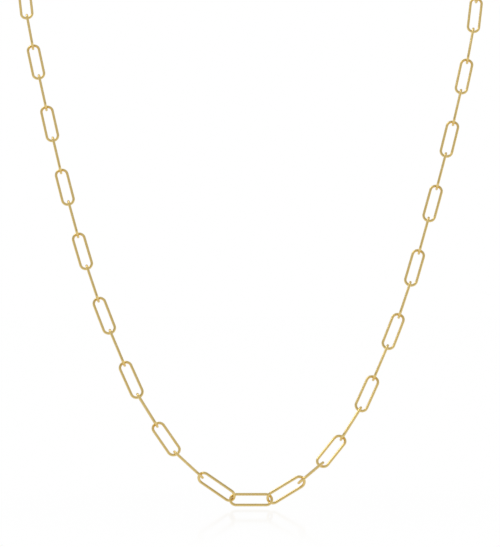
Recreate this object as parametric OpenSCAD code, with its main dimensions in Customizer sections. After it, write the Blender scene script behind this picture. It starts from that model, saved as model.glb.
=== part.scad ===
// Paperclip chain necklace: one closed loop of long oval wire links, hung as if worn
// Millimetres. The origin is the middle of the clasp at the nape, Z is up
// The wearer's front faces -Y, so the bottom link is at the lowest, foremost place

/* [Chain] */
// length of the closed chain with its clasp
chain_len = 457; // [400:1:600]
// outside length of one link
link_l = 9.4; // [9.1:0.05:9.75]
// outside width of one link
link_w = 3.15; // [3.1:0.05:3.5]
// diameter of the links' wire
wire_d = 0.57; // [0.45:0.01:0.59]
// clear gap between two links that hang in each other
link_gap = 0.16; // [0.14:0.01:0.2]

/* [Bottom of the loop] */
// turn of the bottom link about its own long axis, in degrees
bottom_roll = -30; // [-32:1:-29]
// turn of the left neighbour about its long axis
left_roll = 31; // [30:1:32]
// turn of the right neighbour about its long axis
right_roll = 30; // [29:1:31]
// turn of the link on edge beyond the left neighbour
left_edge_roll = 26; // [22:1:30]
// turn of the link on edge beyond the right neighbour
right_edge_roll = 43; // [42:1:46]
// how far the bottom link sits below the line of the chain
bottom_drop = 0.2; // [0.15:0.05:0.3]
// how far the bottom link sits in front of the line of the chain
bottom_front = 0.3; // [0.3:0.05:0.35]
// how much deeper the neighbours reach into the bottom link
bottom_nest = 0.06; // [0.04:0.01:0.08]
// how much deeper the left link on edge reaches into its neighbour
left_nest = 0.1; // [0.1:0.05:0.2]
// how much deeper the right link on edge reaches into its neighbour
right_nest = 0.35; // [0.3:0.05:0.4]

/* [Clasp] */
// outside diameter of the two rings
ring_od = 3.6; // [3.4:0.1:4]
// wire of the two rings
ring_wire = 0.6; // [0.5:0.05:0.65]
// outside length of the clasp's long eye
clasp_l = 7.4; // [6.5:0.1:9]
// outside width of the clasp's long eye
clasp_w = 3.8; // [3.6:0.1:4.4]
// wire of the clasp's long eye
clasp_wire = 1.1; // [0.9:0.05:1.1]
// middle radius of the clasp's small eye
eye_r = 1; // [0.95:0.05:1.2]
// wire of the clasp's small eye
eye_wire = 0.7; // [0.6:0.05:0.75]

/* [Draw] */
// the piece to draw

/* [Hidden] */
$fn = 72;

// the line of the chain from the nape's left round the front to the nape's right
// each point is [x, y, z, turn], turn 0 where the flat links face forward, 90 where they stand
// the points are close where the chain bends, and the two sides differ as they hang
ROUTE = [
    [0, 0, 0, 90],
    [-24, -5, -0.5, 88],
    [-41.3, -17.5, -4.5, 70],
    [-49.5, -33, -12.5, 42],
    [-51.5, -44.5, -20.5, 15],
    [-50.5, -52.5, -32, 5],
    [-45.6, -63.5, -53, 7],
    [-40, -73.7, -74.4, 9],
    [-33.2, -83.7, -95.5, 13],
    [-24.2, -93.2, -116, 22],
    [-20.1, -97, -122.4, 22],
    [-16, -100.7, -128.1, 0],
    [-10.9, -104.5, -132.6, 0],
    [-4.1, -105, -137.4, 0],
    [4.3, -105, -137.9, 0],
    [11.1, -104.3, -133.7, 0],
    [15.3, -98, -130.5, 0],
    [19.9, -94.4, -124.9, 22],
    [23.7, -90.8, -119, 22],
    [32.6, -80, -99, 13],
    [39.4, -70, -77.8, 9],
    [45.5, -60.8, -56.1, 7],
    [50.5, -50.5, -34.8, 5],
    [51.5, -43.5, -22, 15],
    [49, -33, -13, 42],
    [41.3, -17.5, -4.5, 70],
    [24, -5, -0.5, 88],
    [0, 0, 0, 90]
];
// the bottom link hangs in the middle of this stretch of the route
BOTTOM = 13;
// short steps from one point of the route to the next
STEPS = 16;
// turns of the five lowest links, from left to right
ROLLS = [left_edge_roll, left_roll, bottom_roll, right_roll, right_edge_roll];

// lengths worked out from the sizes above
pitch = link_l - 2 * wire_d - link_gap;
ring_r = (ring_od - ring_wire) / 2;
hole_r = ring_r - ring_wire / 2;
// from a link's joint to the middle of the ring that it hangs in
link_to_ring = hole_r - link_gap / 2;
// from the ring's middle to the middle of the small eye
ring_to_eye = hole_r - eye_wire / 2 - link_gap + eye_r;
// how far the small eye's rim stops short of the middle of the long eye's wire
RIM_SHORT = 0.1;
// from the small eye to the middle of the long eye
eye_to_long = eye_r + eye_wire / 2 + RIM_SHORT + (clasp_l - clasp_wire) / 2;
long_to_ring = (clasp_l - clasp_wire) / 2 + (hole_r - clasp_wire / 2 - link_gap);
closing = 2 * link_to_ring + ring_to_eye + eye_to_long + long_to_ring;
// links on each side of the bottom one, an odd number so that the last one lies flat
side = 2 * round(((chain_len - closing) / pitch - 3) / 4) + 1;
left_in = bottom_nest + left_nest;
right_in = bottom_nest + right_nest;
loop_len = (2 * side + 1) * pitch + closing - left_in - right_in;

// one point of the smooth line through four route points
function smooth(a, b, c, d, t) =
    (2 * b + (c - a) * t + (2 * a - 5 * b + 4 * c - d) * t * t + (3 * b - a - 3 * c + d) * t * t * t) / 2;
function stop_at(i) = ROUTE[max(0, min(len(ROUTE) - 1, i))];
LAST = (len(ROUTE) - 1) * STEPS;
function on_route(j) =
    let (i = min(floor(j / STEPS), len(ROUTE) - 2))
    smooth(stop_at(i - 1), stop_at(i), stop_at(i + 1), stop_at(i + 2), j / STEPS - i);
RAW = [for (j = [0:LAST]) on_route(j)];
function xyz(p) = [p[0], p[1], p[2]];
// length of the line's step that ends at point j, none beyond its last point
function step_to(j) = j > LAST ? 0 : norm(xyz(RAW[j]) - xyz(RAW[j - 1]));
// length along the line up to each of its points
ALONG = [for (j = 0, s = 0; j <= LAST; j = j + 1, s = s + step_to(j)) s];
scale_k = loop_len / ALONG[LAST];
AT = [for (c = [0:3]) [for (j = [0:LAST]) [ALONG[j] * scale_k, RAW[j][c] * (c < 3 ? scale_k : 1)]]];
middle = ALONG[BOTTOM * STEPS + STEPS / 2] * scale_k;
function spot(s) = [lookup(s, AT[0]), lookup(s, AT[1]), lookup(s, AT[2])];
function turn(s) = lookup(s, AT[3]);

function unit(v) = v / norm(v);
// places something drawn along X, with its wide direction along Y
module put(mid, along, wide) {
    n = cross(along, wide);
    multmatrix([
        [along[0], wide[0], n[0], mid[0]],
        [along[1], wide[1], n[1], mid[1]],
        [along[2], wide[2], n[2], mid[2]]
    ]) children();
}

// one long oval of round wire in the XY plane
module oval(l, w, d) {
    r = (w - d) / 2;
    h = (l - w) / 2;
    for (s = [-1, 1]) {
        translate([s * h, 0, 0])
            rotate([0, 0, -90 * s])
                rotate_extrude(angle = 180)
                    translate([r, 0])
                        circle(d = d);
        translate([-h, s * r, 0])
            rotate([0, 90, 0])
                cylinder(d = d, h = 2 * h);
    }
}

module torus(r, d) {
    rotate_extrude()
        translate([r, 0])
            circle(d = d);
}

// link i counts from the bottom link, below 0 to the left and above 0 to the right
// the bottom link hangs level, its neighbours lie flat, and after them every other link is on edge
module link(i) {
    nest = abs(i) < 2 ? sign(i) * bottom_nest : i < 0 ? -left_in : right_in;
    s = middle + i * pitch - nest;
    a = spot(s - pitch / 2);
    b = spot(s + pitch / 2);
    along = unit(i == 0 ? [b[0] - a[0], b[1] - a[1], 0] : b - a);
    t = turn(s);
    across = i < 0 ? [cos(t), 0, sin(t)] : [cos(t), 0, -sin(t)];
    up = i < 0 ? -along : along;
    face = i == 0 ? unit(cross(along, [0, 0, 1])) : unit(cross(across, up));
    wide = i % 2 != 0 || i == 0 ? unit(cross(face, along)) : face;
    roll = abs(i) > 2 ? 0 : ROLLS[i + 2];
    turned = cos(roll) * wide + sin(roll) * cross(along, wide);
    put((a + b) / 2 - (i == 0 ? [0, bottom_front, bottom_drop] : [0, 0, 0]), along, turned)
        oval(link_l, link_w, wire_d);
}

module chain_left() {
    color("gold")
        for (i = [-side:0])
            link(i);
}

module chain_right() {
    color("gold")
        for (i = [1:side])
            link(i);
}

// the clasp and its rings hang in the straight gap between the two last links
gap_a = spot(middle - (side + 0.5) * pitch + left_in);
gap_b = spot(middle + (side + 0.5) * pitch - right_in);
cross_gap = unit(gap_a - gap_b);
module in_gap(s) {
    put((gap_a + gap_b) / 2 + cross_gap * (closing / 2 - s), cross_gap, unit(cross([0, 1, 0], cross_gap)))
        children();
}

module clasp_ring() {
    color("gold")
        in_gap(link_to_ring)
            rotate([90, 0, 0])
                torus(ring_r, ring_wire);
}

module clasp() {
    color("gold") {
        in_gap(link_to_ring + ring_to_eye)
            torus(eye_r, eye_wire);
        in_gap(link_to_ring + ring_to_eye + eye_to_long)
            oval(clasp_l, clasp_w, clasp_wire);
    }
}

module end_ring() {
    color("gold")
        in_gap(closing - link_to_ring)
            rotate([90, 0, 0])
                torus(ring_r, ring_wire);
}

chain_left();
chain_right();
clasp_ring();
clasp();
end_ring();
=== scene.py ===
"""A gold paperclip chain necklace, hung as if worn, over a white light table.

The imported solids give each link, ring and eye its place. The pieces drawn here stand in the same places,
with smooth round wire, the sizes of the real chain and a goldsmith's finish.
Metres, Z up, the wearer's front towards -Y.
"""

import math

import bmesh
import bpy
import numpy as np
from mathutils import Matrix, Vector


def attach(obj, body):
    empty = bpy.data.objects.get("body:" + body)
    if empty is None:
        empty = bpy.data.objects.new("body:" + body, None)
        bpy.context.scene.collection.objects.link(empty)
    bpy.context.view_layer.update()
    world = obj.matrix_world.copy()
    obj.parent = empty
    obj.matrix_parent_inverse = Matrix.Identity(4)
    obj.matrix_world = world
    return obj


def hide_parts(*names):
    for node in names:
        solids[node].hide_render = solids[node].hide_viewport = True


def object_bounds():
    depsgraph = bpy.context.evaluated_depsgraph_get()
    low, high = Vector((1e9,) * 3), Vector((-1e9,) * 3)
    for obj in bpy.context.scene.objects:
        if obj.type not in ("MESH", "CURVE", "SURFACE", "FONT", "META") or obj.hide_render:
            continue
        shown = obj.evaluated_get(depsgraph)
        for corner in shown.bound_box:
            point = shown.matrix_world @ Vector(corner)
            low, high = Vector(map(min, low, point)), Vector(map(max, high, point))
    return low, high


MM = 0.001

# Corners of the solids' triangles that are nearer than this are one corner
SAME_CORNER = 0.001 * MM

# Links of the real chain. The solids' links are a little longer and wider, to keep clear of each other
LINK_LENGTH = 9.28 * MM
LINK_WIDTH = 3.07 * MM
LINK_WIRE = 0.58 * MM

# Rings and clasp, as in the solids
RING_OUTSIDE = 3.6 * MM
RING_WIRE = 0.6 * MM
EYE_OUTSIDE = 2.7 * MM
EYE_WIRE = 0.7 * MM
CLASP_LENGTH = 7.4 * MM
CLASP_WIDTH = 3.8 * MM
CLASP_WIRE = 1.1 * MM

# Steps along each bend of an oval, and round its wire
LINK_STEPS = (14, 16)
RING_STEPS = (24, 20)
EYE_STEPS = (24, 24)
CLASP_STEPS = (24, 32)

# A bend's radius as a share of the width between the wire's middles, a hair under half
BEND_SHARE = 0.4995

# The clasp's two eyes are cast in one: the grain of their common skin, and how it is softened to a fillet
CASTING_GRAIN = 0.1 * MM
FILLET_SHARE = 0.5
FILLET_ROUNDS = 8

# Polished gold: its colour and its roughness, at the smoothest and the roughest of the polishing marks
GOLD_COLOUR = "#F6D98F"
SMOOTHEST = 0.17
ROUGHEST = 0.25
# How much rougher one link can be than another, from draws with this seed
LINK_ROUGHER = 0.05
POLISH_SEED = 1
# Polishing marks, drawn 0.5 mm apart, which is coarser than real ones, so that they show
MARK_SPACING = 0.5 * MM
MARK_DETAIL = 4
MARK_CRISPNESS = 0.6
# Their noise lies mostly between these two values
MARK_LOW = 0.3
MARK_HIGH = 0.7
MARK_DEPTH = 0.02 * MM
MARK_STRENGTH = 0.05

# The solder joint: its colour, half the width of its band, where the band has faded out, and how far from
# the oval's long axis the side begins that has it
SOLDER_COLOUR = "#F8E2AC"
SOLDER_HALF = 0.06 * MM
SOLDER_FADED = 0.14 * MM
SOLDER_SIDE = 0.5 * MM

WHITE = "#FFFFFF"

# The light table's top is just under the lowest link. The gold mirrors it a little dimmer than it looks
TABLE_GAP = 0.3 * MM
TABLE_RADIUS = 3.0
TABLE_SIDES = 96
TABLE_GLOW = 1.0
TABLE_GLOW_MIRRORED = 0.75
# Its top is polished under the chain and satin further out: the share that it mirrors there
POLISHED_REACH = 30 * MM
POLISHED_SHARE = 0.15
SATIN_REACH = 100 * MM
SATIN_SHARE = 0.02
TABLE_ROUGHNESS = 0.07
ACRYLIC_IOR = 1.49

# The room that the gold mirrors: the sine of the angle above level, and how bright it is there
ROOM_BANDS = [(0.0, 0.95), (0.09, 0.95), (0.3, 0.58), (0.7, 0.52), (1.0, 0.7)]
# It is unlit behind the camera: a direction's part along Y, and the share of the light that it has
UNLIT_SIDE = (-0.95, 0.45)
LIT_SIDE = (-0.6, 1.0)

# A softbox above and to the left, with its power in watts
SOFTBOX_PLACE = (-0.4, 0.06, 0.74)
SOFTBOX_TARGET = (0, -0.09, -0.1)
SOFTBOX_SIZE = 0.4
SOFTBOX_POWER = 1.2

# The camera stands level, well back, as the small change of size from front to back in the photograph shows
CAMERA_PLACE = (-0.1 * MM, -802 * MM, -90.4 * MM)
PICTURE_HEIGHT_PX = 547
FOCAL_LENGTH_PX = 3321
SENSOR = 36
NEAREST_SEEN = 10 * MM


def linear(hex_colour):
    """An sRGB hex colour as linear red, green, blue and alpha."""
    parts = [int(hex_colour[i : i + 2], 16) / 255 for i in (1, 3, 5)]
    return [c / 12.92 if c <= 0.04045 else ((c + 0.055) / 1.055) ** 2.4 for c in parts] + [1]


def in_scene(name, data):
    """A new object of the scene."""
    obj = bpy.data.objects.new(name, data)
    bpy.context.scene.collection.objects.link(obj)
    return obj


def apply_modifiers(obj, name):
    """Gives an object the plain mesh that its modifiers make."""
    bpy.context.view_layer.update()
    mesh = bpy.data.meshes.new_from_object(obj.evaluated_get(bpy.context.evaluated_depsgraph_get()))
    mesh.name = name
    obj.modifiers.clear()
    obj.data = mesh


def empty_tree(owner):
    """The node tree of a material or a world, with no nodes."""
    owner.use_nodes = True
    owner.node_tree.nodes.clear()
    return owner.node_tree


def add_node(tree, kind, inputs=(), **settings):
    """Adds a node with its settings. inputs holds sockets, by name or number, and what each takes."""
    node = tree.nodes.new(kind)
    for name, value in settings.items():
        setattr(node, name, value)
    for socket, value in dict(inputs).items():
        if isinstance(value, bpy.types.NodeSocket):
            tree.links.new(value, node.inputs[socket])
        else:
            node.inputs[socket].default_value = value
    return node


# Places, read from the solids


def loose_parts(solid):
    """The middles and the areas of the faces of each loose part of a CAD node."""
    mesh = bmesh.new()
    mesh.from_mesh(solid.data)
    bmesh.ops.remove_doubles(mesh, verts=mesh.verts, dist=SAME_CORNER)
    mesh.faces.ensure_lookup_table()
    parts, seen = [], set()
    for first in mesh.faces:
        if first.index in seen:
            continue
        seen.add(first.index)
        queue, middles, areas = [first], [], []
        while queue:
            face = queue.pop()
            middles.append(face.calc_center_median())
            areas.append(face.calc_area())
            for edge in face.edges:
                for other in edge.link_faces:
                    if other.index not in seen:
                        seen.add(other.index)
                        queue.append(other)
        parts.append((np.array(middles), np.array(areas)))
    mesh.free()
    return parts


def place_of(part):
    """The middle of a loose part, its long direction and its wide direction."""
    points, areas = part
    middle = np.average(points, axis=0, weights=areas)
    spread = (points - middle) * np.sqrt(areas)[:, None]
    directions = np.linalg.eigh(spread.T @ spread)[1]
    return middle, directions[:, 2], directions[:, 1]


def places_in(solid):
    """The place of each link or ring of a CAD node."""
    return [place_of(part) for part in loose_parts(solid)]


def points_object(name, places):
    """A mesh of one point for each place, which carries its two directions."""
    mesh = bpy.data.meshes.new(name)
    mesh.from_pydata([tuple(middle) for middle, _, _ in places], [], [])
    for attribute, k in (("along", 1), ("wide", 2)):
        values = np.array([place[k] for place in places], np.float32).ravel()
        mesh.attributes.new(attribute, "FLOAT_VECTOR", "POINT").data.foreach_set("vector", values)
    return in_scene(name, mesh)


# Wire bent to an oval, set at every point


def oval_tree():
    """Geometry nodes that bend round wire to an oval and set one at each point along its two directions."""
    tree = bpy.data.node_groups.new("wire ovals", "GeometryNodeTree")
    tree.interface.new_socket("Points", in_out="INPUT", socket_type="NodeSocketGeometry")
    for name in ("Length", "Width", "Wire"):
        tree.interface.new_socket(name, in_out="INPUT", socket_type="NodeSocketFloat")
    for name in ("Bend steps", "Round steps", "Seed"):
        tree.interface.new_socket(name, in_out="INPUT", socket_type="NodeSocketInt")
    tree.interface.new_socket("Metal", in_out="INPUT", socket_type="NodeSocketMaterial")
    tree.interface.new_socket("Ovals", in_out="OUTPUT", socket_type="NodeSocketGeometry")
    given = add_node(tree, "NodeGroupInput").outputs

    # The path is the middle of the wire
    middle_length, middle_width = [
        add_node(tree, "ShaderNodeMath", {0: given[size], 1: given["Wire"]}, operation="SUBTRACT").outputs[0]
        for size in ("Length", "Width")
    ]
    bend = add_node(
        tree, "ShaderNodeMath", {0: middle_width, 1: BEND_SHARE}, operation="MULTIPLY"
    ).outputs[0]
    blank = add_node(
        tree, "GeometryNodeCurvePrimitiveQuadrilateral", {"Width": middle_length, "Height": middle_width}
    )
    path = add_node(
        tree,
        "GeometryNodeFilletCurve",
        {"Curve": blank.outputs[0], "Radius": bend, "Count": given["Bend steps"]},
        mode="POLY",
    )
    half_wire = add_node(tree, "ShaderNodeMath", {0: given["Wire"], 1: 0.5}, operation="MULTIPLY").outputs[0]
    section = add_node(
        tree, "GeometryNodeCurvePrimitiveCircle", {"Resolution": given["Round steps"], "Radius": half_wire}
    )
    wire = add_node(
        tree, "GeometryNodeCurveToMesh", {"Curve": path.outputs[0], "Profile Curve": section.outputs[0]}
    )

    # Each oval remembers the places on itself, and how it was polished, for the metal to read
    place = add_node(tree, "GeometryNodeInputPosition").outputs[0]
    on_oval = add_node(
        tree,
        "GeometryNodeStoreNamedAttribute",
        {"Geometry": wire.outputs[0], "Name": "on_oval", "Value": place},
        data_type="FLOAT_VECTOR",
        domain="POINT",
    )
    smooth = add_node(tree, "GeometryNodeSetShadeSmooth", {"Geometry": on_oval.outputs[0]})
    chance = add_node(tree, "FunctionNodeRandomValue", {"Seed": given["Seed"]}, data_type="FLOAT")
    polished = add_node(
        tree,
        "GeometryNodeStoreNamedAttribute",
        {"Geometry": given["Points"], "Name": "polish", "Value": chance.outputs["Value"]},
        data_type="FLOAT",
        domain="POINT",
    )

    along, wide = [
        add_node(
            tree, "GeometryNodeInputNamedAttribute", {"Name": name}, data_type="FLOAT_VECTOR"
        ).outputs["Attribute"]
        for name in ("along", "wide")
    ]
    lengthways = add_node(tree, "FunctionNodeAlignRotationToVector", {"Vector": along}, axis="X")
    turned = add_node(
        tree,
        "FunctionNodeAlignRotationToVector",
        {"Rotation": lengthways.outputs[0], "Vector": wide},
        axis="Y",
        pivot_axis="X",
    )
    ovals = add_node(
        tree,
        "GeometryNodeInstanceOnPoints",
        {"Points": polished.outputs[0], "Instance": smooth.outputs[0], "Rotation": turned.outputs[0]},
    )
    real = add_node(tree, "GeometryNodeRealizeInstances", {"Geometry": ovals.outputs[0]})
    metal = add_node(
        tree, "GeometryNodeSetMaterial", {"Geometry": real.outputs[0], "Material": given["Metal"]}
    )
    add_node(tree, "NodeGroupOutput", {"Ovals": metal.outputs[0]})
    return tree


def wire_ovals(name, places, sizes, steps):
    """One mesh of equal wire ovals, one at each place.

    sizes are the outside length and width and the wire, and steps those along a bend and round the wire.
    """
    obj = points_object(name, places)
    modifier = obj.modifiers.new("ovals", "NODES")
    modifier.node_group = ovals
    values = dict(zip(("Length", "Width", "Wire"), sizes))
    values.update(zip(("Bend steps", "Round steps"), steps))
    values.update(Metal=gold, Seed=POLISH_SEED)
    for item in ovals.interface.items_tree:
        if item.in_out == "INPUT" and item.name in values:
            modifier[item.identifier] = values[item.name]
    apply_modifiers(obj, name)
    return obj


def clasp_casting(name, solid):
    """The plain clasp: a small eye and a long eye cast in one, with a soft fillet where they meet.

    It is drawn in millimetres and brought to metres at the end.
    """
    long_eye = [size / MM for size in (CLASP_LENGTH, CLASP_WIDTH, CLASP_WIRE)]
    small_eye = [size / MM for size in (EYE_OUTSIDE, EYE_OUTSIDE, EYE_WIRE)]
    corners = np.array([vertex.co for vertex in solid.data.vertices]) / MM
    middle, along, wide = places_in(solid)[0]
    middle = middle / MM
    reach = (corners - middle) @ along
    # The long eye holds most of the metal, so the clasp's middle is nearer to its end
    if reach.max() > -reach.min():
        along, reach = -along, -reach
    eyes = [
        ("long eye", reach.max() - long_eye[0] / 2, long_eye, CLASP_STEPS),
        ("small eye", reach.min() + small_eye[0] / 2, small_eye, EYE_STEPS),
    ]
    both = bmesh.new()
    for eye_name, offset, sizes, steps in eyes:
        eye = wire_ovals(eye_name, [(middle + along * offset, along, wide)], sizes, steps)
        both.from_mesh(eye.data)
        bpy.data.objects.remove(eye)
    mesh = bpy.data.meshes.new(name)
    both.to_mesh(mesh)
    both.free()
    casting = in_scene(name, mesh)
    skin = casting.modifiers.new("one skin", "REMESH")
    skin.mode = "VOXEL"
    skin.voxel_size = CASTING_GRAIN / MM
    skin.use_smooth_shade = True
    fillet = casting.modifiers.new("fillet", "SMOOTH")
    fillet.factor = FILLET_SHARE
    fillet.iterations = FILLET_ROUNDS
    apply_modifiers(casting, name)
    casting.data.transform(Matrix.Scale(MM, 4))
    casting.data.materials.clear()
    casting.data.materials.append(gold)
    return casting


# Gold


def polished_gold():
    """14 carat yellow gold, drawn to wire, bent, soldered and polished.

    It mirrors its surroundings in a warm yellow. The polishing leaves a soft, slightly uneven gloss that
    differs a little from link to link, with faint marks, and each solder joint is a narrow paler band in the
    middle of one long side.
    """
    material = bpy.data.materials.new("polished 14 carat gold wire")
    tree = empty_tree(material)
    place = add_node(tree, "ShaderNodeTexCoord").outputs["Object"]
    marks = add_node(
        tree,
        "ShaderNodeTexNoise",
        {"Vector": place, "Scale": 1 / MARK_SPACING, "Detail": MARK_DETAIL, "Roughness": MARK_CRISPNESS},
    ).outputs["Fac"]
    uneven = add_node(
        tree,
        "ShaderNodeMapRange",
        {
            "Value": marks,
            "From Min": MARK_LOW,
            "From Max": MARK_HIGH,
            "To Min": SMOOTHEST,
            "To Max": ROUGHEST,
        },
    ).outputs["Result"]
    polish = add_node(tree, "ShaderNodeAttribute", attribute_name="polish").outputs["Fac"]
    gloss = add_node(
        tree, "ShaderNodeMath", {0: polish, 1: LINK_ROUGHER, 2: uneven}, operation="MULTIPLY_ADD"
    ).outputs[0]
    bump = add_node(
        tree, "ShaderNodeBump", {"Height": marks, "Strength": MARK_STRENGTH, "Distance": MARK_DEPTH}
    ).outputs["Normal"]

    on_oval = add_node(tree, "ShaderNodeAttribute", attribute_name="on_oval").outputs["Vector"]
    axes = add_node(tree, "ShaderNodeSeparateXYZ", {0: on_oval}).outputs
    off_joint = add_node(tree, "ShaderNodeMath", {0: axes["X"]}, operation="ABSOLUTE").outputs[0]
    across_joint = add_node(
        tree,
        "ShaderNodeMapRange",
        {"Value": off_joint, "From Min": SOLDER_HALF, "From Max": SOLDER_FADED, "To Min": 1, "To Max": 0},
    ).outputs["Result"]
    one_side = add_node(
        tree, "ShaderNodeMath", {0: axes["Y"], 1: SOLDER_SIDE}, operation="GREATER_THAN"
    ).outputs[0]
    solder = add_node(
        tree, "ShaderNodeMath", {0: across_joint, 1: one_side}, operation="MULTIPLY"
    ).outputs[0]
    # Of a colour mix, sockets 6 and 7 are the two colours, and output 2 is the result
    colour = add_node(
        tree,
        "ShaderNodeMix",
        {"Factor": solder, 6: linear(GOLD_COLOUR), 7: linear(SOLDER_COLOUR)},
        data_type="RGBA",
    ).outputs[2]
    metal = add_node(
        tree,
        "ShaderNodeBsdfPrincipled",
        {"Base Color": colour, "Metallic": 1.0, "Roughness": gloss, "Normal": bump},
    )
    add_node(tree, "ShaderNodeOutputMaterial", {"Surface": metal.outputs[0]})
    return material


# Studio


def opal_acrylic(under_chain):
    """Opal acrylic lit from below: an even white glow under a gloss that mirrors most at a low angle."""
    material = bpy.data.materials.new("polished opal acrylic lit from below")
    tree = empty_tree(material)
    camera_ray = add_node(tree, "ShaderNodeLightPath").outputs["Is Camera Ray"]
    level = add_node(
        tree,
        "ShaderNodeMapRange",
        {"Value": camera_ray, "To Min": TABLE_GLOW_MIRRORED, "To Max": TABLE_GLOW},
    ).outputs["Result"]
    glow = add_node(tree, "ShaderNodeEmission", {"Color": linear(WHITE), "Strength": level})
    gloss = add_node(tree, "ShaderNodeBsdfGlossy", {"Color": linear(WHITE), "Roughness": TABLE_ROUGHNESS})
    grazing = add_node(tree, "ShaderNodeFresnel", {"IOR": ACRYLIC_IOR}).outputs[0]
    place = add_node(tree, "ShaderNodeTexCoord").outputs["Object"]
    from_chain = add_node(
        tree, "ShaderNodeVectorMath", {0: place, 1: under_chain}, operation="DISTANCE"
    ).outputs["Value"]
    polish = add_node(
        tree,
        "ShaderNodeMapRange",
        {
            "Value": from_chain,
            "From Min": POLISHED_REACH,
            "From Max": SATIN_REACH,
            "To Min": POLISHED_SHARE,
            "To Max": SATIN_SHARE,
        },
        interpolation_type="SMOOTHSTEP",
    ).outputs["Result"]
    share = add_node(tree, "ShaderNodeMath", {0: grazing, 1: polish}, operation="MULTIPLY").outputs[0]
    both = add_node(tree, "ShaderNodeMixShader", {0: share, 1: glow.outputs[0], 2: gloss.outputs[0]})
    add_node(tree, "ShaderNodeOutputMaterial", {"Surface": both.outputs[0]})
    return material


def light_table(lowest):
    """A round light table under the lowest corner of the necklace's box."""
    height = lowest[2] - TABLE_GAP
    mesh = bmesh.new()
    bmesh.ops.create_circle(mesh, cap_ends=True, segments=TABLE_SIDES, radius=TABLE_RADIUS)
    data = bpy.data.meshes.new("light_table")
    mesh.to_mesh(data)
    mesh.free()
    data.transform(Matrix.Translation((0, 0, height)))
    data.materials.append(opal_acrylic((0, lowest[1], height)))
    in_scene("light_table", data)


def studio_light():
    """A white room: the camera sees it white, and the gold mirrors brighter and dimmer bands of it."""
    world = bpy.data.worlds.new("white room")
    bpy.context.scene.world = world
    tree = empty_tree(world)
    towards = add_node(tree, "ShaderNodeTexCoord").outputs["Generated"]
    axes = add_node(tree, "ShaderNodeSeparateXYZ", {0: towards}).outputs
    bands = add_node(tree, "ShaderNodeValToRGB", {0: axes["Z"]})
    stops = bands.color_ramp.elements
    # The ramp comes with its first and last stop
    for height, _ in ROOM_BANDS[1:-1]:
        stops.new(height)
    for stop, (_, level) in zip(stops, ROOM_BANDS):
        stop.color = (level, level, level, 1)
    (unlit, unlit_share), (lit, lit_share) = UNLIT_SIDE, LIT_SIDE
    front = add_node(
        tree,
        "ShaderNodeMapRange",
        {"Value": axes["Y"], "From Min": unlit, "From Max": lit, "To Min": unlit_share, "To Max": lit_share},
        interpolation_type="SMOOTHSTEP",
    ).outputs["Result"]
    mirrored = add_node(tree, "ShaderNodeBackground", {"Color": bands.outputs[0], "Strength": front})
    seen = add_node(tree, "ShaderNodeBackground", {"Color": linear(WHITE), "Strength": 1.0})
    camera_ray = add_node(tree, "ShaderNodeLightPath").outputs["Is Camera Ray"]
    both = add_node(tree, "ShaderNodeMixShader", {0: camera_ray, 1: mirrored.outputs[0], 2: seen.outputs[0]})
    add_node(tree, "ShaderNodeOutputWorld", {"Surface": both.outputs[0]})


def softbox():
    """A square softbox turned to the chain, out of the camera's sight."""
    data = bpy.data.lights.new("softbox_above", "AREA")
    data.shape = "SQUARE"
    data.size = SOFTBOX_SIZE
    data.energy = SOFTBOX_POWER
    light = in_scene("softbox_above", data)
    light.location = SOFTBOX_PLACE
    beam = Vector(SOFTBOX_TARGET) - Vector(SOFTBOX_PLACE)
    light.rotation_euler = beam.to_track_quat("-Z", "Y").to_euler()
    light.visible_camera = False


def camera():
    """A level camera with a long lens, at the photograph's place."""
    data = bpy.data.cameras.new("camera")
    data.sensor_fit = "VERTICAL"
    data.sensor_height = SENSOR
    data.lens = SENSOR * FOCAL_LENGTH_PX / PICTURE_HEIGHT_PX
    data.clip_start = NEAREST_SEEN
    obj = in_scene("camera", data)
    obj.location = CAMERA_PLACE
    obj.rotation_euler = (math.pi / 2, 0, 0)
    bpy.context.scene.camera = obj


def give(obj, *nodes):
    """Lets a finished piece stand for its CAD nodes."""
    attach(obj, "root")
    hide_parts(*nodes)


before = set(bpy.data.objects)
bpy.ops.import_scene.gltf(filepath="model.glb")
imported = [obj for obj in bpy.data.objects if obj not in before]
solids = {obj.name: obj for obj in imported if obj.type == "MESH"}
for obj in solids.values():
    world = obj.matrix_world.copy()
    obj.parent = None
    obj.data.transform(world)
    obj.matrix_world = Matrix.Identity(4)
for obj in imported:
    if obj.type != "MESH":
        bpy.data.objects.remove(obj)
cad_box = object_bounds()
gold = polished_gold()
ovals = oval_tree()

# The chain: every link of the solids, with the real chain's sizes
link_sizes = (LINK_LENGTH, LINK_WIDTH, LINK_WIRE)
for node in ("chain_left", "chain_right"):
    give(wire_ovals(node + "_links", places_in(solids[node]), link_sizes, LINK_STEPS), node)

# The two rings at the nape
ring_sizes = (RING_OUTSIDE, RING_OUTSIDE, RING_WIRE)
for node in ("clasp_ring", "end_ring"):
    give(wire_ovals(node + "_wire", places_in(solids[node]), ring_sizes, RING_STEPS), node)

# The clasp between them
give(clasp_casting("clasp_casting", solids["clasp"]), "clasp")

light_table(cad_box[0])
studio_light()
softbox()
camera()
# Colours as they are: white stays white
bpy.context.scene.view_settings.view_transform = "Standard"
